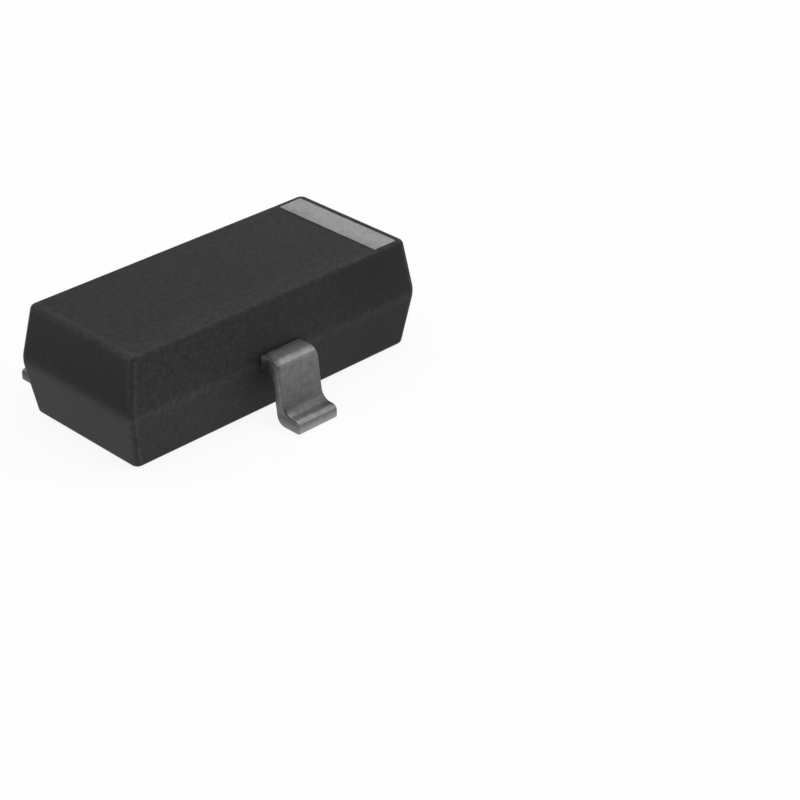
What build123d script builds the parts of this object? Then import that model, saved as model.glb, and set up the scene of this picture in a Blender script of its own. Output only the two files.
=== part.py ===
from build123d import *
import math
import os

# Zener diode in a small three-lead surface-mount package.
# Sizes are in millimetres. The origin is on the board, midway between the front and rear toes.
# +X runs along the body to the marked end, -Y points to the single lead, +Z is up.

# Moulded body, its length and width taken over the rounded parting line
body_length = 2.90
body_width = 1.29
cap_height = 0.45
base_height = 0.466
standoff = 0.012
end_draft = 9.5
side_draft = 7.2
body_corner_radius = 0.06
rim_radius = 0.042
parting_radius = 0.40

# Lead strip and its bends outside the body. Bending leaves the legs a little thinner than the strip
lead_thickness = 0.11
leg_thickness = 0.098
lead_width = 0.40
lead_pitch = 1.90
front_shoulder_reach = 0.188
rear_shoulder_reach = 0.220
foot_reach = 0.215
leg_splay = 8.5
strip_top_above_parting = 0.045
inner_bend_radius = 0.09
outer_bend_radius = 0.085
toe_radius = 0.05
upper_edge_radius = 0.016
under_edge_bevel = 0.009

# Chip pad and wire posts inside the body
pad_length = 0.95
pad_width = 0.56
pad_offset = 0.10
frame_gap = 0.13
post_width = 0.34
post_cover = 0.17
frame_corner_radius = 0.05

# Chip and the adhesive under it
die_side = 0.36
die_thickness = 0.14
adhesive_thickness = 0.02
adhesive_margin = 0.02
adhesive_taper = 30

# Bond wire with its ball and its stitch
wire_radius = 0.015
ball_radius = 0.0375
ball_height = 0.018
loop_rise = 0.11
loop_shoulder = 0.28
loop_fall = 0.02
loop_first_radius = 0.06
loop_second_radius = 0.20
stitch_length = 0.10
stitch_width = 0.06
stitch_thickness = 0.018
stitch_from_post_end = 0.13

# Printed band
band_width = 0.231
band_end_margin = 0.038
band_rear_margin = 0.027
band_thickness = 0.006

# Heights and places that follow from the sizes above
body_centre_y = (front_shoulder_reach - rear_shoulder_reach) / 2
parting_z = standoff + base_height
top_z = parting_z + cap_height
strip_top_z = parting_z + strip_top_above_parting
strip_bottom_z = strip_top_z - lead_thickness
die_top_z = strip_top_z + adhesive_thickness + die_thickness
post_inner_x = pad_length / 2 + frame_gap
post_outer_x = lead_pitch / 2 + lead_width / 2
pad_centre_y = body_centre_y - pad_offset
post_offset = body_width / 2 - post_cover - post_width / 2
post_centre_y = body_centre_y + post_offset

# An edge that climbs less than this counts as level
level_limit = 0.001


def half_at_height(rounded_size, draft_angle, from_parting):
    """Half the body's length or width where its drafted walls stand at a height from the parting line."""
    draft = math.radians(draft_angle)
    return rounded_size / 2 + parting_radius * (1 / math.cos(draft) - 1) - from_parting * math.tan(draft)


def flat_size(rounded_size, draft_angle):
    """Length or width of the flat top, inside its rounded rim."""
    rim_reach = rim_radius * math.tan(math.radians(90 - draft_angle) / 2)
    return 2 * (half_at_height(rounded_size, draft_angle, cap_height) - rim_reach)


def body_profile(rounded_size, draft_angle):
    """The body seen square on: two drafted halves with a rounded parting line at height 0."""
    top = half_at_height(rounded_size, draft_angle, cap_height)
    parting = half_at_height(rounded_size, draft_angle, 0)
    bottom = half_at_height(rounded_size, draft_angle, base_height)
    outline = [
        (-bottom, -base_height),
        (bottom, -base_height),
        (parting, 0),
        (top, cap_height),
        (-top, cap_height),
        (-parting, 0),
    ]
    with BuildSketch() as profile:
        with BuildLine():
            FilletPolyline(outline, radius=[0, 0, parting_radius, 0, 0, parting_radius], close=True)
        make_face()
    return profile.sketch


def lead_profile(centre_x, side, stem_start):
    """Side view of a bent lead at its place along the body, from inside the body to the toe.

    side is -1 for the front of the body and +1 for the rear, and stem_start is how far
    from the middle of the body the strip begins.
    """
    lean = math.tan(math.radians(leg_splay))
    leg_depth = leg_thickness / math.cos(math.radians(leg_splay))
    reach = front_shoulder_reach if side < 0 else rear_shoulder_reach
    shoulder = body_width / 2 + reach
    toe = shoulder + foot_reach
    outline = [
        (stem_start, strip_bottom_z),
        (shoulder - leg_depth + lead_thickness * lean, strip_bottom_z),
        (shoulder - leg_depth + strip_top_z * lean, 0),
        (toe, 0),
        (toe, lead_thickness),
        (shoulder + (strip_top_z - lead_thickness) * lean, lead_thickness),
        (shoulder, strip_top_z),
        (stem_start, strip_top_z),
    ]
    radii = [
        0,
        inner_bend_radius,
        outer_bend_radius,
        0,
        toe_radius,
        inner_bend_radius,
        outer_bend_radius,
        0,
    ]
    with BuildSketch(Plane.YZ.offset(centre_x)) as profile:
        with BuildLine():
            corners = [(body_centre_y + side * out, z) for out, z in outline]
            FilletPolyline(corners, radius=radii, close=True)
        make_face()
    return profile.sketch


def bent_lead(centre_x, side, stem_start):
    """The formed strip of one lead, with its upper edges rounded and its under edges broken.

    The rounding starts from the top of the stem and the bevel from the sole, and each runs on over
    both bends.
    """
    with BuildPart() as strip:
        extrude(lead_profile(centre_x, side, stem_start), amount=lead_width / 2, both=True)
        fillet(strip.edges().filter_by(Axis.Y).group_by(Axis.Z)[-1], radius=upper_edge_radius)
        chamfer(strip.edges().filter_by(Axis.Y).group_by(Axis.Z)[0], length=under_edge_bevel)
    return strip.part


def wire_post(side):
    """Flat post at the inner end of a rear lead, side +1 or -1 along the body."""
    with BuildSketch(Plane.XY.offset(strip_bottom_z)) as post:
        with Locations((side * (post_inner_x + post_outer_x) / 2, post_centre_y)):
            RectangleRounded(post_outer_x - post_inner_x, post_width, frame_corner_radius)
    return post.sketch


# Cathode lead, one strip with the chip pad
front_strip = bent_lead(0, -1, pad_offset)

with BuildPart() as cathode_lead:
    add(front_strip)
    with BuildSketch(Plane.XY.offset(strip_bottom_z)):
        with Locations((0, pad_centre_y)):
            RectangleRounded(pad_length, pad_width, frame_corner_radius)
    extrude(amount=lead_thickness)
cathode_lead.part.label = "cathode_lead"

# Anode lead, at the marked end, with the post that takes the wire
anode_strip = bent_lead(lead_pitch / 2, 1, post_offset)

with BuildPart() as anode_lead:
    add(anode_strip)
    extrude(wire_post(1), amount=lead_thickness)
anode_lead.part.label = "anode_lead"

# Spare lead, anchored in the plastic by its post and connected to nothing
spare_strip = bent_lead(-lead_pitch / 2, 1, post_offset)

with BuildPart() as spare_lead:
    add(spare_strip)
    extrude(wire_post(-1), amount=lead_thickness)
spare_lead.part.label = "spare_lead"

# Adhesive between the chip and its pad
with BuildPart() as die_attach:
    with BuildSketch(Plane.XY.offset(strip_top_z)):
        with Locations((0, pad_centre_y)):
            Rectangle(die_side + 2 * adhesive_margin, die_side + 2 * adhesive_margin)
    extrude(amount=adhesive_thickness, taper=adhesive_taper)
die_attach.part.label = "die_attach"

# Silicon chip
with BuildPart() as zener_die:
    with BuildSketch(Plane.XY.offset(strip_top_z + adhesive_thickness)):
        with Locations((0, pad_centre_y)):
            Rectangle(die_side, die_side)
    extrude(amount=die_thickness)
zener_die.part.label = "zener_die"

# Bond wire, drawn in the upright plane through the ball and the stitch
ball_place = Vector(0, pad_centre_y, die_top_z)
stitch_place = Vector(post_inner_x + stitch_from_post_end, post_centre_y, strip_top_z)
wire_run = Vector(stitch_place.X - ball_place.X, stitch_place.Y - ball_place.Y, 0)
wire_start_z = die_top_z + ball_height / 2
wire_plane = Plane(
    origin=(ball_place.X, ball_place.Y, wire_start_z),
    x_dir=wire_run,
    z_dir=wire_run.cross(Vector(0, 0, 1)),
)

with BuildPart() as bond_wire:
    with BuildLine(wire_plane) as loop:
        FilletPolyline(
            (0, 0),
            (0, loop_rise),
            (loop_shoulder, loop_rise - loop_fall),
            (wire_run.length, strip_top_z + stitch_thickness - wire_start_z),
            radius=[loop_first_radius, loop_second_radius],
        )
    with BuildSketch(Plane.XY.offset(wire_start_z)):
        with Locations((ball_place.X, ball_place.Y)):
            Circle(wire_radius)
    sweep(path=loop.line)
    with BuildSketch(Plane.XY.offset(die_top_z)):
        with Locations((ball_place.X, ball_place.Y)):
            Circle(ball_radius)
    extrude(amount=ball_height)
    with BuildSketch(Plane(origin=stitch_place, x_dir=wire_run)):
        Ellipse(stitch_length / 2, stitch_width / 2)
    extrude(amount=stitch_thickness)
bond_wire.part.label = "bond_wire"

# Moulded body, cast around the frame, the chip and the wire
body_middle = (0, body_centre_y, parting_z)

with BuildPart() as moulded_body:
    end_view = body_profile(body_width, side_draft)
    side_view = body_profile(body_length, end_draft)
    extrude(Plane(body_middle, x_dir=(1, 0, 0), z_dir=(0, -1, 0)) * side_view, amount=body_width, both=True)
    extrude(
        Plane(body_middle, x_dir=(0, 1, 0), z_dir=(1, 0, 0)) * end_view,
        amount=body_length,
        both=True,
        mode=Mode.INTERSECT,
    )
    upright_edges = moulded_body.edges().filter_by(lambda edge: edge.bounding_box().size.Z > level_limit)
    fillet(upright_edges, radius=body_corner_radius)
    flats = moulded_body.faces().sort_by(Axis.Z)
    fillet(flats[0].edges() + flats[-1].edges(), radius=rim_radius)
    for cast_in in (cathode_lead, anode_lead, spare_lead, die_attach, zener_die, bond_wire):
        add(cast_in.part, mode=Mode.SUBTRACT)
moulded_body.part.label = "moulded_body"

# Printed band on the flat of the top face, at the anode end, from the front rim almost to the rear one
band_outer_x = flat_size(body_length, end_draft) / 2 - band_end_margin
band_length = flat_size(body_width, side_draft) - band_rear_margin

with BuildPart() as printed_band:
    with BuildSketch(Plane.XY.offset(top_z)):
        with Locations((band_outer_x - band_width / 2, body_centre_y - band_rear_margin / 2)):
            Rectangle(band_width, band_length)
    extrude(amount=band_thickness)
printed_band.part.label = "printed_band"

pieces = [
    moulded_body,
    cathode_lead,
    anode_lead,
    spare_lead,
    zener_die,
    die_attach,
    bond_wire,
    printed_band,
]

os.makedirs("parts", exist_ok=True)
for piece in pieces:
    export_step(piece.part, f"parts/{piece.part.label}.step")
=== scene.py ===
import math
import random

import bmesh
import bpy
from mathutils import Matrix, Vector


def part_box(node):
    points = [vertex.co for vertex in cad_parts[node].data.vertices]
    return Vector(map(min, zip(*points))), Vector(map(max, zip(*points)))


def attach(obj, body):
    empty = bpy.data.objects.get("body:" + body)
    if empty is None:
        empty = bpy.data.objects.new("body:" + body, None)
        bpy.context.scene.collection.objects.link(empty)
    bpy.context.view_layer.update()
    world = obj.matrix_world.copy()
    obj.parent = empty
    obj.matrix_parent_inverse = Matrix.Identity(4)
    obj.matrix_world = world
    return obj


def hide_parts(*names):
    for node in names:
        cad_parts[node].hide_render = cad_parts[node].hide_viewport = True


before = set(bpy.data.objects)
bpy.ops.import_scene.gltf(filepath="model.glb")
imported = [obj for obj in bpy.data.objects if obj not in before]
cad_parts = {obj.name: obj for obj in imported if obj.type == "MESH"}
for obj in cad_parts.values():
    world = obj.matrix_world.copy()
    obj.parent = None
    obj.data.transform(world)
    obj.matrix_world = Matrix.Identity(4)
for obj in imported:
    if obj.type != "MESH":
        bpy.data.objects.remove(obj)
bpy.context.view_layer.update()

# Sizes are in metres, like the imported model. MM turns a drawing size into one.
MM = 0.001

# Moulded body, as drawn, its length and width taken over the rounded parting line
BODY_LENGTH = 2.90 * MM
BODY_WIDTH = 1.29 * MM
CAP_HEIGHT = 0.45 * MM
BASE_HEIGHT = 0.466 * MM
STANDOFF = 0.012 * MM
END_DRAFT = math.radians(9.5)
SIDE_DRAFT = math.radians(7.2)
BODY_CORNER = 0.06 * MM
RIM_ROUND = 0.042 * MM
PARTING_ROUND = 0.40 * MM
PARTING_HEIGHT = STANDOFF + BASE_HEIGHT
TOP_HEIGHT = PARTING_HEIGHT + CAP_HEIGHT

# Lead strip, as drawn, with the legs a little thinner than the strip
STRIP_THICKNESS = 0.11 * MM
LEG_THICKNESS = 0.098 * MM
STRIP_WIDTH = 0.40 * MM
LEAD_PITCH = 1.90 * MM
FRONT_REACH = 0.188 * MM
REAR_REACH = 0.220 * MM
FOOT_REACH = 0.215 * MM
LEG_SPLAY = math.radians(8.5)
STRIP_TOP = PARTING_HEIGHT + 0.045 * MM
INNER_BEND = 0.09 * MM
OUTER_BEND = 0.085 * MM
TOE_ROUND = 0.05 * MM
TOE_SOLE_ROUND = 0.02 * MM
STRIP_EDGE_ROUND = 0.016 * MM
BODY_CENTRE_Y = (FRONT_REACH - REAR_REACH) / 2

# Chip pad and wire posts at the inner ends of the strips
PAD_LENGTH = 0.95 * MM
PAD_WIDTH = 0.56 * MM
PAD_OFFSET = 0.10 * MM
FRAME_GAP = 0.13 * MM
POST_WIDTH = 0.34 * MM
POST_COVER = 0.17 * MM
FRAME_CORNER = 0.05 * MM

# How strongly the large flats of a piece decide its smooth shading, out of 100
FLATS_WEIGHT = 100

# How many flats make a round: the body's corners, each half of its parting line, its rims, the bends
# of a strip, the strip's long edges, and the corners of the frame and of the print
CORNER_STEPS = 10
PARTING_STEPS = 8
RIM_STEPS = 8
BEND_STEPS = 8
EDGE_STEPS = 5
FRAME_STEPS = 6
PRINT_STEPS = 3

# Printed film: its corners, how far apart the points of its edge lie, how far the edge strays inwards,
# how far its top is drawn in, and the share of its height that keeps the full outline
PRINT_CORNER = 0.010 * MM
PRINT_POINT_GAP = 0.012 * MM
PRINT_UNEVEN = 0.0022 * MM
PRINT_TOP_INSET = 0.0025 * MM
PRINT_FULL_SHARE = 0.6
PRINT_SEED = 7

# Places that the finishes follow, in millimetres
HALF_PITCH_MM = LEAD_PITCH / MM / 2
STRIP_TOP_MM = STRIP_TOP / MM

# Studio: floor, the low white wall round it, and the light
FLOOR_RADIUS = 140 * MM
WALL_HEIGHT = 28 * MM
FLOOR_SIDES = 64
FLOOR_PAINT = 0.85
SEEN_WHITE_SHARE = 0.9
AIR_LIGHT = 0.55

# Camera: its lens and the width of its film, both in millimetres as Blender takes them, and its range
CAMERA_LENS = 99.865
CAMERA_FILM = 36
CAMERA_NEAR = 0.5 * MM
CAMERA_FAR = 1000 * MM

# Colour sockets of the Mix node, which has a set for each kind of data
MIX_FIRST = 6
MIX_SECOND = 7
MIX_COLOUR = 2


class Signal:
    """One output of a node. Sums and products of signals add the Math nodes they need."""

    def __init__(self, finish, socket):
        self.finish = finish
        self.socket = socket

    def _math(self, operation, *values):
        return self.finish.node("ShaderNodeMath", {"operation": operation}, dict(enumerate(values)))

    def __add__(self, other):
        return self._math("ADD", self, other)

    def __radd__(self, other):
        return self._math("ADD", other, self)

    def __sub__(self, other):
        return self._math("SUBTRACT", self, other)

    def __rsub__(self, other):
        return self._math("SUBTRACT", other, self)

    def __mul__(self, other):
        return self._math("MULTIPLY", self, other)

    def __rmul__(self, other):
        return self._math("MULTIPLY", other, self)

    def __abs__(self):
        return self._math("ABSOLUTE", self)

    def larger(self, other):
        return self._math("MAXIMUM", self, other)


class Finish:
    """A node tree, for a material or for the world, with one way to add any node."""

    def __init__(self, owner):
        owner.use_nodes = True
        self.owner = owner
        self.tree = owner.node_tree
        self.tree.nodes.clear()

    def node(self, kind, settings, values, output=0):
        """Adds a node, sets it up, fills its sockets with numbers or links, and gives back one output."""
        made = self.tree.nodes.new(kind)
        for name, value in settings.items():
            if name == "stops":
                self.set_stops(made.color_ramp, value)
            else:
                setattr(made, name, value)
        for name, value in values.items():
            if isinstance(value, Signal):
                self.tree.links.new(value.socket, made.inputs[name])
            else:
                made.inputs[name].default_value = value
        return Signal(self, made.outputs[output]) if made.outputs else None

    def set_stops(self, ramp, stops):
        """Gives a colour ramp its stops, each a share of its length and the grey level there."""
        while len(ramp.elements) < len(stops):
            ramp.elements.new(0.5)
        for stop, (share, level) in zip(ramp.elements, stops):
            stop.position = share
            stop.color = grey(level)

    def place(self):
        """Position on the part, in millimetres."""
        here = self.node("ShaderNodeTexCoord", {}, {}, "Object")
        return self.node("ShaderNodeVectorMath", {"operation": "SCALE"}, {0: here, "Scale": 1 / MM})

    def axis(self, vector, name):
        return self.node("ShaderNodeSeparateXYZ", {}, {0: vector}, name)

    def grain(self, place, size, detail, stretch=(1, 1, 1)):
        """Noise with grains of about the given size in millimetres, from 0 to 1."""
        scaled = self.node("ShaderNodeVectorMath", {"operation": "MULTIPLY"}, {0: place, 1: stretch})
        return self.node(
            "ShaderNodeTexNoise",
            {"noise_dimensions": "3D"},
            {"Vector": scaled, "Scale": 1 / size, "Detail": detail, "Roughness": 0.55},
            "Fac",
        )

    def ramp(self, signal, low, high, step="SMOOTHSTEP"):
        """0 below low, 1 above high, with a soft step between."""
        return self.node(
            "ShaderNodeMapRange",
            {"interpolation_type": step},
            {"Value": signal, "From Min": low, "From Max": high, "To Min": 0.0, "To Max": 1.0},
        )

    def fade(self, signal, low, high):
        """1 below low, 0 above high, with a soft step between."""
        return 1 - self.ramp(signal, low, high)

    def between(self, signal, low, full, fading, high):
        """1 from full to fading, and 0 below low and above high."""
        return self.ramp(signal, low, full) * self.fade(signal, fading, high)

    def course(self, signal, stops):
        """Level that runs through the given stops, each a value of the signal and the level there."""
        low, high = stops[0][0], stops[-1][0]
        shares = [((value - low) / (high - low), level) for value, level in stops]
        share = self.ramp(signal, low, high, "LINEAR")
        return self.node("ShaderNodeValToRGB", {"stops": shares}, {"Fac": share})

    def greyed(self, level):
        """Grey colour of a level that varies over the surface."""
        return self.node("ShaderNodeCombineColor", {}, {"Red": level, "Green": level, "Blue": level})

    def blend(self, share, first, second, how="MIX"):
        """Colour between two, by a share from 0 to 1."""
        return self.node(
            "ShaderNodeMix",
            {"data_type": "RGBA", "blend_type": how},
            {"Factor": share, MIX_FIRST: first, MIX_SECOND: second},
            MIX_COLOUR,
        )

    def tint(self, colour, level):
        """Colour times a level that varies over the surface."""
        return self.blend(1.0, colour, self.greyed(level), "MULTIPLY")

    def bump(self, height, depth, normal=None):
        """Surface normal with the height, a share of depth in metres, worked into it."""
        values = {"Strength": 1.0, "Distance": depth, "Height": height}
        if normal is not None:
            values["Normal"] = normal
        return self.node("ShaderNodeBump", {}, values)

    def surface(self, values):
        """Ends the material in a Principled shader with these sockets."""
        shader = self.node("ShaderNodeBsdfPrincipled", {}, values)
        self.node("ShaderNodeOutputMaterial", {}, {"Surface": shader})
        return self.owner


def material(name):
    return Finish(bpy.data.materials.new(name))


def grey(tone):
    return (tone, tone, tone, 1)


# Finishes

def moulding_compound():
    """Matt charcoal epoxy filled with fine silica.

    Its colour holds painted light and shade: walls lit by how they face, painted highlights along the rims,
    corners and parting line, and painted shade round each strip.
    Limits are millimetres on the part for a place, and shares of the normal for a direction.
    """
    finish = material("moulding_compound")
    place = finish.place()
    facing = finish.node("ShaderNodeNewGeometry", {}, {}, "Normal")
    along, across, height = (finish.axis(place, name) for name in "XYZ")
    endwise, rearward = abs(finish.axis(facing, "X")), finish.axis(facing, "Y")
    sideways, upright = abs(rearward), abs(finish.axis(facing, "Z"))
    on_end, on_side, on_flat = endwise * endwise, sideways * sideways, upright * upright

    # Heights of the painted highlight along the parting on the side walls, the painted sheen about it, and
    # the painted shade round the strips
    line_height, sheen_height, shade_height = 0.458, 0.500, 0.450

    # Flats, end walls and side walls, each level holding painted light and shade
    # Painted light: the end walls lighter on their lower half, towards the front and by height
    lower_half = finish.fade(height, 0.445, 0.525)
    to_front = finish.fade(across, -0.6, 0.6)
    upper_end = 0.0012 + 0.0030 * to_front + 0.0044 * finish.ramp(height, 0.58, 0.92)
    lower_end = 0.0080 + 0.0030 * to_front + 0.0026 * finish.ramp(height, 0.06, 0.42)
    end_level = upper_end + lower_half * lower_end
    # Painted highlight along the parting line on the side walls, and painted sheen about it
    parting_highlight = finish.fade(abs(height - line_height), 0.0, 0.055)
    parting_sheen = finish.fade(abs(height - sheen_height), 0.03, 0.24)
    # Painted light: the side walls lighter towards the plain end and darker towards the banded end
    plain_end = finish.fade(along, -1.0, -0.1)
    marked_end = finish.ramp(along, 0.2, 1.1)
    side_level = 0.0134 + 0.0032 * plain_end - 0.0076 * marked_end + 0.0016 * parting_sheen
    side_level = side_level + parting_highlight * (0.0052 + 0.0040 * plain_end)
    # Painted light: the flat lighter towards the banded end and along its front edge
    front_edge = finish.fade(across, -0.56, -0.25)
    flat_level = 0.0166 + 0.0025 * finish.ramp(along, -0.2, 1.2) + 0.0046 * front_edge
    level = on_end * end_level + on_side * side_level + on_flat * flat_level

    # Painted highlights along the rims of the two flats, and along the upright corners
    end_rim = finish.ramp(endwise - sideways, -0.1, 0.1)
    from_wall = finish.between(upright, 0.17, 0.32, 0.965, 1.0)
    inner_rim_highlight = finish.between(upright, 0.65, 0.93, 0.985, 1.0)
    rim_highlights = end_rim * from_wall * 0.013 + (1 - end_rim) * inner_rim_highlight * 0.009
    end_highlight_place = -1.326
    end_highlight = finish.ramp(upright, 0.97, 1.0) * finish.fade(abs(along - end_highlight_place), 0.004, 0.028)
    by_end = finish.between(sideways, 0.06, 0.25, 0.45, 0.68)
    by_side = finish.between(endwise, 0.02, 0.12, 0.30, 0.50)
    # Painted highlight beside each upright corner
    corner = 0.010 * by_end + 0.014 * by_side + 0.028 * (on_end * on_side)
    rim_highlights = rim_highlights + 0.008 * end_highlight + corner * finish.fade(upright, 0.20, 0.35)

    # Painted shade round the strips where they leave the body
    shade_full, shade_end = 0.19, 0.27
    from_front = abs(along)
    from_rear = abs(abs(along) - HALF_PITCH_MM)
    beside_front = finish.ramp(0 - rearward, 0.5, 0.8) * finish.fade(from_front, shade_full, shade_end)
    beside_rear = finish.ramp(rearward, 0.5, 0.8) * finish.fade(from_rear, shade_full, shade_end)
    shade = (beside_front + beside_rear) * finish.fade(abs(height - shade_height), 0.06, 0.13)

    filler = finish.grain(place, 0.034, 2.0)
    cloud = finish.grain(place, 0.35, 2.0)
    level = level * (0.10 * cloud - 0.10 + 2.1 * filler) + rim_highlights * (0.6 + 0.8 * filler)
    level = level * (1 - 0.75 * shade)
    return finish.surface(
        {
            "Base Color": finish.greyed(level),
            "Roughness": 0.47 + 0.10 * filler,
            "Specular IOR Level": 0.2,
            "Normal": finish.bump(filler, 0.0016 * MM),
        }
    )


def tinned_strip():
    """Dull tin with painted highlights on the shoulder bend and the toe, and painted shade darker down the
    leg.

    The skin's stops run out along the strip and down the leg, and the cut side's run up from the board,
    both in millimetres.
    """
    finish = material("tinned_strip")
    place = finish.place()
    facing = finish.node("ShaderNodeNewGeometry", {}, {}, "Normal")
    along, across, height = (finish.axis(place, name) for name in "XYZ")
    out = abs(across)
    run = out + (STRIP_TOP_MM - height)
    # Painted highlights on the shoulder bend and the toe, and painted shade down the leg, in the skin's
    # stops
    skin = finish.course(
        run,
        (
            (0.66, 0.28),
            (0.78, 0.45),
            (0.81, 0.29),
            (0.845, 0.285),
            (0.870, 0.12),
            (0.94, 0.158),
            (1.05, 0.138),
            (1.25, 0.115),
            (1.285, 0.076),
            (1.325, 0.122),
            (1.355, 0.168),
            (1.385, 0.195),
            (1.41, 0.285),
            (1.44, 0.255),
            (1.47, 0.220),
            (1.503, 0.145),
            (1.56, 0.29),
        ),
    )
    # Painted light and shade on the cut sides, by height
    side = finish.course(
        height,
        (
            (0.03, 0.20),
            (0.075, 0.105),
            (0.10, 0.12),
            (0.13, 0.160),
            (0.21, 0.210),
            (0.37, 0.55),
            (0.46, 0.52),
        ),
    )
    # Painted shade: the cut sides darker near the body, and on the rear strips
    painted_shade_near_body = 0.35 + 0.65 * finish.ramp(out, 0.72, 0.83)
    painted_shade_on_rear = 1 - 0.45 * finish.ramp(across, 0.6, 0.7)

    # Painted shade darkens the long edges, more at the foot's inner bend, and one side of the stem most of
    # all. Painted light makes the stem's other side paler
    sideways = abs(finish.axis(facing, "X"))
    rolled_edge = finish.ramp(sideways, 0.20, 0.60)
    inner_bend = finish.ramp(0.20 - height, 0.0, 0.07) * finish.fade(0.14 - height, 0.02, 0.05)
    rear_centre = 2 * HALF_PITCH_MM * finish.ramp(along, -0.1, 0.1) - HALF_PITCH_MM
    centre = finish.ramp(across, -0.1, 0.1) * rear_centre
    cut_edge = finish.ramp(centre - along, 0.130, 0.190) * finish.fade(sideways, 0.5, 0.9)
    on_stem = finish.fade(run, 0.835, 0.885)
    far_side = finish.ramp(along - centre, 0.0, 0.17)
    painted_shade_and_light = 1 - rolled_edge * (0.08 + 0.14 * inner_bend) - on_stem * (0.62 * cut_edge - 0.16 * far_side)
    metal = finish.blend(
        finish.ramp(sideways, 0.975, 1.0),
        finish.tint(skin, painted_shade_and_light),
        finish.tint(side, painted_shade_near_body * painted_shade_on_rear),
    )
    cloud = finish.grain(place, 0.05, 3.0)
    drawn = finish.grain(place, 0.012, 2.0, (1, 0.15, 0.15))
    worn = 0.52 + 0.80 * cloud + 0.16 * drawn
    return finish.surface(
        {
            "Base Color": finish.tint(metal, worn),
            "Metallic": 1.0,
            "Roughness": 0.42 + 0.10 * (cloud - 0.5),
            "Normal": finish.bump(drawn, 0.0009 * MM, finish.bump(cloud, 0.0020 * MM)),
        }
    )


def band_ink():
    """Flat grey print, a little open in its grain."""
    finish = material("band_ink")
    place = finish.place()
    speck = finish.grain(place, 0.034, 2.0)
    cloud = finish.grain(place, 0.16, 2.0)
    colour = finish.tint(grey(0.29), 0.66 + 0.62 * speck + 0.06 * cloud)
    return finish.surface(
        {
            "Base Color": colour,
            "Roughness": 0.62 + 0.12 * (speck - 0.5),
            "Specular IOR Level": 0.25,
            "Normal": finish.bump(speck, 0.0012 * MM),
        }
    )


def polished_silicon():
    """Polished silicon with a faint blue oxide tint and fine saw marks."""
    finish = material("silicon")
    place = finish.place()
    sawn = finish.grain(place, 0.006, 1.0, (1, 0.1, 0.1))
    cloud = finish.grain(place, 0.08, 2.0)
    return finish.surface(
        {
            "Base Color": finish.blend(cloud, (0.075, 0.085, 0.105, 1), (0.10, 0.105, 0.12, 1)),
            "Roughness": 0.16 + 0.10 * sawn,
            "Coat Weight": 0.4,
            "Normal": finish.bump(sawn, 0.0003 * MM),
        }
    )


def cured_adhesive():
    """Silver paste, cured dull."""
    finish = material("conductive_adhesive")
    place = finish.place()
    flake = finish.grain(place, 0.007, 3.0)
    return finish.surface(
        {
            "Base Color": finish.blend(flake, (0.42, 0.42, 0.40, 1), (0.60, 0.60, 0.58, 1)),
            "Metallic": 1.0,
            "Roughness": 0.45 + 0.25 * flake,
            "Normal": finish.bump(flake, 0.0015 * MM),
        }
    )


def drawn_gold():
    """Gold wire with faint die lines."""
    finish = material("gold_wire")
    place = finish.place()
    lines = finish.grain(place, 0.004, 2.0, (0.2, 0.2, 1))
    return finish.surface(
        {
            "Base Color": finish.blend(lines, (0.80, 0.55, 0.18, 1), (0.90, 0.66, 0.27, 1)),
            "Metallic": 1.0,
            "Roughness": 0.18 + 0.12 * lines,
            "Normal": finish.bump(lines, 0.0003 * MM),
        }
    )


# Shapes

def half_size(height, rounded_half, draft):
    """Half length or half width of the body at a height, and how much of it the rim round has taken off."""
    from_parting = abs(height - PARTING_HEIGHT)
    depth = CAP_HEIGHT if height > PARTING_HEIGHT else BASE_HEIGHT
    if from_parting < PARTING_ROUND * math.sin(draft):
        return rounded_half - PARTING_ROUND + math.sqrt(PARTING_ROUND ** 2 - from_parting ** 2), 0
    wall = rounded_half + PARTING_ROUND * (1 / math.cos(draft) - 1) - from_parting * math.tan(draft)
    from_flat = depth - from_parting
    if from_flat > RIM_ROUND * (1 - math.sin(draft)):
        return wall, 0
    rim_reach = RIM_ROUND * math.tan((math.pi / 2 - draft) / 2)
    flat = wall - from_flat * math.tan(draft) - rim_reach
    half = flat + math.sqrt(max(RIM_ROUND ** 2 - (RIM_ROUND - from_flat) ** 2, 0))
    return half, wall - half


def round_ring(middle, half_length, half_width, corner, height, corner_steps):
    """Points round a rectangle with round corners, lying level at a height."""
    ring = []
    for quarter, (along, across) in enumerate(((1, 1), (-1, 1), (-1, -1), (1, -1))):
        for step in range(corner_steps + 1):
            turn = math.radians(90 * (quarter + step / corner_steps))
            x = along * (half_length - corner) + corner * math.cos(turn)
            y = across * (half_width - corner) + corner * math.sin(turn)
            ring.append(Vector((middle[0] + x, middle[1] + y, height)))
    return ring


def body_ring(height):
    """Outline of the moulded body at a height."""
    half_length, _ = half_size(height, BODY_LENGTH / 2, END_DRAFT)
    half_width, rim_inset = half_size(height, BODY_WIDTH / 2, SIDE_DRAFT)
    middle, corner = (0, BODY_CENTRE_Y), BODY_CORNER - rim_inset
    return round_ring(middle, half_length, half_width, corner, height, CORNER_STEPS)


def rim_heights(flat, towards):
    """Heights up the rim round, from the flat to the drafted wall."""
    turn = (math.pi / 2 - SIDE_DRAFT) / RIM_STEPS
    return [flat + towards * RIM_ROUND * (1 - math.cos(turn * step)) for step in range(RIM_STEPS + 1)]


def linked_object(name, mesh):
    """Object of a finished mesh, in the scene."""
    data = bpy.data.meshes.new(name)
    mesh.to_mesh(data)
    mesh.free()
    made = bpy.data.objects.new(name, data)
    bpy.context.scene.collection.objects.link(made)
    return made


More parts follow.
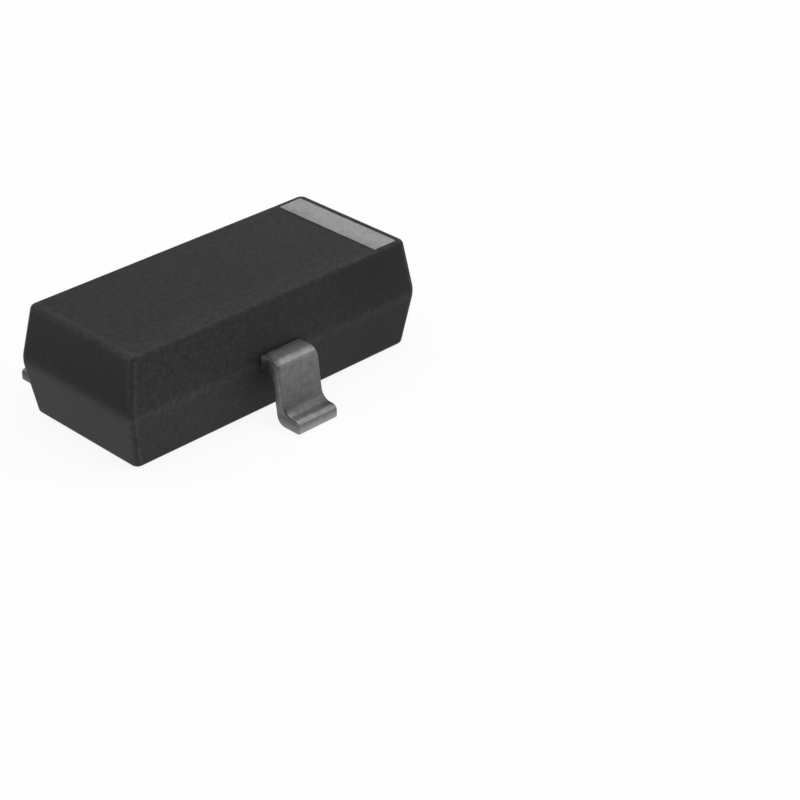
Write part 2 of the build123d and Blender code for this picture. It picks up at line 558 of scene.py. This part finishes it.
def piece_from(name, mesh, finish):
    """Shades a mesh smooth with its flats kept flat, and links it as one piece on the part."""
    for face in mesh.faces:
        face.smooth = True
    piece = linked_object(name, mesh)
    flats = piece.modifiers.new("flats", "WEIGHTED_NORMAL")
    flats.weight = FLATS_WEIGHT
    piece.data.materials.append(finish)
    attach(piece, "root")
    return piece


def stacked_rings(rings):
    """Closed skin over a stack of outlines with as many points each."""
    mesh = bmesh.new()
    rows = [[mesh.verts.new(point) for point in ring] for ring in rings]
    count = len(rows[0])
    mesh.faces.new(reversed(rows[0]))
    for lower, upper in zip(rows, rows[1:]):
        for k in range(count):
            after = (k + 1) % count
            mesh.faces.new((lower[k], lower[after], upper[after], upper[k]))
    mesh.faces.new(rows[-1])
    return mesh


def moulded_body(finish):
    """The block that was cast round the frame, with its two drafted halves."""
    parting_reach = PARTING_ROUND * math.sin(END_DRAFT)
    parting_steps = range(-PARTING_STEPS, PARTING_STEPS + 1)
    parting = [PARTING_HEIGHT + parting_reach * step / PARTING_STEPS for step in parting_steps]
    heights = rim_heights(STANDOFF, 1) + parting + rim_heights(TOP_HEIGHT, -1)[::-1]
    piece = piece_from("body_moulding", stacked_rings([body_ring(height) for height in heights]), finish)
    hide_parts("moulded_body")


def rounded_corner(before, corner, after, radius):
    """Points round a corner of the strip's outline, from one straight to the next."""
    back = (before - corner).normalized()
    on = (after - corner).normalized()
    half_angle = back.angle(on) / 2
    middle = corner + (back + on).normalized() * (radius / math.sin(half_angle))
    first = corner + back * (radius / math.tan(half_angle)) - middle
    last = corner + on * (radius / math.tan(half_angle)) - middle
    sweep = first.angle(last)
    points = []
    for step in range(BEND_STEPS + 1):
        share = step / BEND_STEPS
        spoke = first * math.sin((1 - share) * sweep) + last * math.sin(share * sweep)
        points.append(middle + spoke / math.sin(sweep))
    return points


def skin_line(upper, reach, start, inset):
    """Side view of a strip's upper or under skin from its inner end to its toe, sunk by inset.

    Points give the distance out from the middle of the body, and the height.
    """
    lean = math.tan(LEG_SPLAY)
    shoulder = BODY_WIDTH / 2 + reach
    toe = shoulder + FOOT_REACH - inset
    if upper:
        leg_depth, toe_way = inset, -1
        stem, foot = STRIP_TOP - inset, STRIP_THICKNESS - inset
        rounds = (OUTER_BEND - inset, INNER_BEND + inset, TOE_ROUND - inset)
    else:
        leg_depth, toe_way = LEG_THICKNESS - inset, 1
        stem, foot = STRIP_TOP - STRIP_THICKNESS + inset, inset
        rounds = (INNER_BEND + inset, OUTER_BEND - inset, TOE_SOLE_ROUND - inset)
    leg = shoulder + STRIP_TOP * lean - leg_depth / math.cos(LEG_SPLAY)
    corners = [
        Vector((start, stem)),
        Vector((leg - stem * lean, stem)),
        Vector((leg - foot * lean, foot)),
        Vector((toe, foot)),
        Vector((toe, foot + toe_way * STRIP_THICKNESS)),
    ]
    line = [corners[0]]
    for k, radius in enumerate(rounds):
        line += rounded_corner(corners[k], corners[k + 1], corners[k + 2], radius)
    return line


def bent_strip(centre_x, side, reach, start):
    """One formed strip, from inside the body to its toe, with its long edges rounded."""
    stations = []
    for step in range(EDGE_STEPS + 1):
        turn = math.pi / 2 * step / EDGE_STEPS
        across = STRIP_WIDTH / 2 - STRIP_EDGE_ROUND * (1 - math.cos(turn))
        stations.append((across, STRIP_EDGE_ROUND * (1 - math.sin(turn))))
    stations = [(-across, inset) for across, inset in stations] + stations[::-1]
    mesh = bmesh.new()
    under, upper = [], []
    for across, inset in stations:
        for rows, is_upper in ((under, False), (upper, True)):
            line = skin_line(is_upper, reach, start, inset)
            points = [(centre_x + across, BODY_CENTRE_Y + side * out, height) for out, height in line]
            rows.append([mesh.verts.new(point) for point in points])
    last = len(under[0]) - 1
    for rows in (under, upper):
        for left, right in zip(rows, rows[1:]):
            for k in range(last):
                mesh.faces.new((left[k], right[k], right[k + 1], left[k + 1]))
    for edge in (0, -1):
        for k in range(last):
            mesh.faces.new((under[edge][k], under[edge][k + 1], upper[edge][k + 1], upper[edge][k]))
    for end in (0, last):
        for j in range(len(stations) - 1):
            mesh.faces.new((under[j][end], under[j + 1][end], upper[j + 1][end], upper[j][end]))
    bmesh.ops.recalc_face_normals(mesh, faces=mesh.faces)
    return mesh


def frame_plate(centre, length, width):
    """Flat end of a strip inside the body: the chip pad or a wire post."""
    rings = []
    for height in (STRIP_TOP - STRIP_THICKNESS, STRIP_TOP):
        rings.append(round_ring(centre, length / 2, width / 2, FRAME_CORNER, height, FRAME_STEPS))
    return stacked_rings(rings)


def lead(name, node, strip, plate, finish):
    """A lead: its bent strip fused with the flat plate that the body holds."""
    plate_piece = linked_object(name + "_plate", plate)
    strip_piece = linked_object(name + "_strip", strip)
    fused = strip_piece.modifiers.new("plate", "BOOLEAN")
    fused.operation = "UNION"
    fused.solver = "EXACT"
    fused.object = plate_piece
    graph = bpy.context.evaluated_depsgraph_get()
    whole = bmesh.new()
    whole.from_mesh(strip_piece.evaluated_get(graph).to_mesh())
    for part in (plate_piece, strip_piece):
        bpy.data.objects.remove(part)
    piece = piece_from(name, whole, finish)
    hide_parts(node)


def printed_band(finish):
    """Thin film of ink on the flat top, with the slightly uneven edge of a print."""
    low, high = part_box("printed_band")
    middle, half = (low + high) / 2, (high - low) / 2
    outline = round_ring(middle, half.x, half.y, PRINT_CORNER, 0, PRINT_STEPS)
    points = []
    for here, there in zip(outline, outline[1:] + outline[:1]):
        gaps = max(1, round((there - here).length / PRINT_POINT_GAP))
        points += [here.lerp(there, step / gaps) for step in range(gaps)]
    print_edge = random.Random(PRINT_SEED)
    uneven = []
    for point in points:
        inward = Vector((0, middle.y - point.y, 0))
        if abs(point.x - middle.x) > half.x - PRINT_CORNER:
            inward = Vector((middle.x - point.x, 0, 0))
        uneven.append(point + inward.normalized() * print_edge.uniform(0, PRINT_UNEVEN))
    rings = []
    full_height = low.z + PRINT_FULL_SHARE * (high.z - low.z)
    for height, shrink in ((low.z, 0), (full_height, 0), (high.z, PRINT_TOP_INSET)):
        ring = []
        for point in uneven:
            towards = (Vector((middle.x, middle.y, 0)) - point).normalized() * shrink
            ring.append(Vector((point.x + towards.x, point.y + towards.y, height)))
        rings.append(ring)
    piece = piece_from("band_print", stacked_rings(rings), finish)
    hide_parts("printed_band")


# The part

tin = tinned_strip()
moulded_body(moulding_compound())
printed_band(band_ink())

pad_centre = (0, BODY_CENTRE_Y - PAD_OFFSET)
lead(
    "front_lead",
    "cathode_lead",
    bent_strip(0, -1, FRONT_REACH, PAD_OFFSET),
    frame_plate(pad_centre, PAD_LENGTH, PAD_WIDTH),
    tin,
)

post_inner = PAD_LENGTH / 2 + FRAME_GAP
post_outer = LEAD_PITCH / 2 + STRIP_WIDTH / 2
post_offset = BODY_WIDTH / 2 - POST_COVER - POST_WIDTH / 2
for name, node, way in (("banded_end_lead", "anode_lead", 1), ("plain_end_lead", "spare_lead", -1)):
    post_centre = (way * (post_inner + post_outer) / 2, BODY_CENTRE_Y + post_offset)
    lead(
        name,
        node,
        bent_strip(way * LEAD_PITCH / 2, 1, REAR_REACH, post_offset),
        frame_plate(post_centre, post_outer - post_inner, POST_WIDTH),
        tin,
    )

for node, finish in (
    ("zener_die", polished_silicon()),
    ("die_attach", cured_adhesive()),
    ("bond_wire", drawn_gold()),
):
    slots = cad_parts[node].data.materials
    slots.clear()
    slots.append(finish)


# The studio

def studio_floor():
    """Plain pale floor and low wall that keep the soft shadow of the part and are open from outside."""
    mesh = bmesh.new()
    floor_edge, wall_edge = [], []
    for step in range(FLOOR_SIDES):
        turn = math.tau * step / FLOOR_SIDES
        x, y = FLOOR_RADIUS * math.cos(turn), FLOOR_RADIUS * math.sin(turn)
        floor_edge.append(mesh.verts.new((x, y, 0)))
        wall_edge.append(mesh.verts.new((x, y, WALL_HEIGHT)))
    mesh.faces.new(floor_edge)
    for k in range(FLOOR_SIDES):
        mesh.faces.new((floor_edge[k], floor_edge[k - 1], wall_edge[k - 1], wall_edge[k]))
    floor = linked_object("studio_floor", mesh)
    finish = material("pale_floor")
    painted = finish.node("ShaderNodeBsdfDiffuse", {}, {"Color": grey(FLOOR_PAINT)})
    white = finish.node("ShaderNodeEmission", {}, {"Color": grey(1.0), "Strength": 1.0})
    seen = looking_rays(finish)
    lit = finish.node("ShaderNodeMixShader", {}, {0: seen * SEEN_WHITE_SHARE, 1: painted, 2: white})
    behind = finish.node("ShaderNodeNewGeometry", {}, {}, "Backfacing")
    clear = finish.node("ShaderNodeBsdfTransparent", {}, {})
    whole = finish.node("ShaderNodeMixShader", {}, {0: behind, 1: lit, 2: clear})
    finish.node("ShaderNodeOutputMaterial", {}, {"Surface": whole})
    floor.data.materials.append(finish.owner)


def looking_rays(finish):
    """1 for rays that see the background, straight or reflected, and 0 for those that light the part."""
    camera_ray = finish.node("ShaderNodeLightPath", {}, {}, "Is Camera Ray")
    glossy_ray = finish.node("ShaderNodeLightPath", {}, {}, "Is Glossy Ray")
    through_ray = finish.node("ShaderNodeLightPath", {}, {}, "Is Transmission Ray")
    return camera_ray.larger(glossy_ray).larger(through_ray)


def studio_air():
    """Even pale light from all round."""
    world = bpy.data.worlds.new("studio_air")
    bpy.context.scene.world = world
    finish = Finish(world)
    even = finish.node("ShaderNodeBackground", {}, {"Color": grey(1.0), "Strength": AIR_LIGHT})
    finish.node("ShaderNodeOutputWorld", {}, {"Surface": even})


def soft_lamp(name, azimuth, elevation, spread, strength):
    """A wide soft lamp far away. Azimuth 0 stands in front of the part, 90 at the banded end."""
    data = bpy.data.lights.new(name, "SUN")
    data.energy = strength
    data.angle = math.radians(spread)
    lamp = bpy.data.objects.new(name, data)
    turn, rise = math.radians(azimuth), math.radians(elevation)
    towards = Vector((math.sin(turn) * math.cos(rise), -math.cos(turn) * math.cos(rise), math.sin(rise)))
    lamp.rotation_mode = "QUATERNION"
    lamp.rotation_quaternion = towards.to_track_quat("Z", "Y")
    bpy.context.scene.collection.objects.link(lamp)


def studio_camera():
    """Camera where the photograph was taken from, with the part left of the middle as there.

    Its place and axes were fitted to the part's outline in the photograph.
    """
    data = bpy.data.cameras.new("studio_camera")
    data.lens = CAMERA_LENS
    data.sensor_width = CAMERA_FILM
    data.clip_start = CAMERA_NEAR
    data.clip_end = CAMERA_FAR
    camera = bpy.data.objects.new("studio_camera", data)
    stand = Vector((-9.8254, -11.4587, 8.5104)) * MM
    axes = Matrix(
        (
            (0.70128927, 0.35065079, -0.62067494),
            (-0.71279729, 0.35791733, -0.60317096),
            (0.01064795, 0.86541274, 0.50094651),
        )
    )
    camera.matrix_world = Matrix.Translation(stand) @ axes.to_4x4()
    bpy.context.scene.collection.objects.link(camera)
    bpy.context.scene.camera = camera


studio_floor()
studio_air()
soft_lamp("top_lamp", azimuth=0, elevation=86, spread=60, strength=1.3)
soft_lamp("side_lamp", azimuth=48, elevation=30, spread=36, strength=0.5)
studio_camera()
bpy.context.scene.view_settings.view_transform = "Standard"
